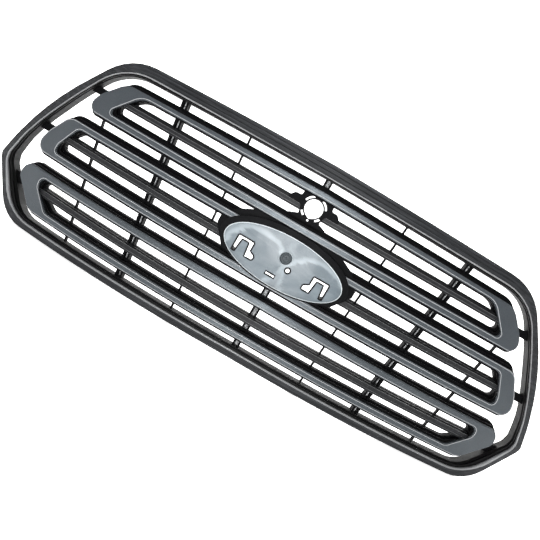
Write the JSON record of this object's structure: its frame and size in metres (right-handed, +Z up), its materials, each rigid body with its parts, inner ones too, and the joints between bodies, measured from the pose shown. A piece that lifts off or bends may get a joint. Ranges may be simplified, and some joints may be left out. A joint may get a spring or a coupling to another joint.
{
  "type": "front grille",
  "caption": "Bowed six-sided van grille: stepped surround, satin capped ring bars over black channels, slats, fanned ribs, oval emblem seat and a round camera socket",
  "frame": {"origin": "centre of the front face of the oval emblem plate, where the emblem is stuck", "axes": "+Z up, the front of the grille looks along -Y, +X to the right seen from the front"},
  "size_m": [1.1754, 0.1641, 0.3904],
  "materials": {
    "surround_black": "fine-grained moulded black",
    "edge_satin": "smooth satin black edge",
    "ring_satin": "satin dark grey with fine grain",
    "bar_black": "semi-gloss moulded black",
    "rib_black": "moulded black",
    "emblem_grey": "pale blue-grey moulding with flow marks",
    "fixing_black": "moulded black"
  },
  "bodies": {
    "root": {"surround_lip": "surround_black", "surround_bead": "edge_satin", "surround_wall": "surround_black", "upper_ring": "ring_satin", "middle_ring": "ring_satin", "lower_ring": "ring_satin", "upper_ring_carrier": "bar_black", "middle_ring_carrier": "bar_black", "lower_ring_carrier": "bar_black", "upper_slat_left": "bar_black", "upper_slat_right": "bar_black", "middle_slat_left": "bar_black", "middle_slat_right": "bar_black", "lower_slat": "bar_black", "outer_rib_left": "rib_black", "outer_rib_right": "rib_black", "double_rib_left": "rib_black", "double_rib_right": "rib_black", "inner_rib_left": "rib_black", "inner_rib_right": "rib_black", "centre_rib_upper": "rib_black", "centre_rib_lower": "rib_black", "upper_tie_left": "rib_black", "upper_tie_right": "rib_black", "middle_tie_left": "rib_black", "middle_tie_right": "rib_black", "lower_tie_left": "rib_black", "lower_tie_right": "rib_black", "emblem_bezel": "bar_black", "emblem_plate": "emblem_grey", "socket_housing": "bar_black", "socket_collar": "edge_satin", "upper_fixing_tabs": "fixing_black", "lower_hooks": "fixing_black", "side_pins": "fixing_black"}
  },
  "joints": []
}
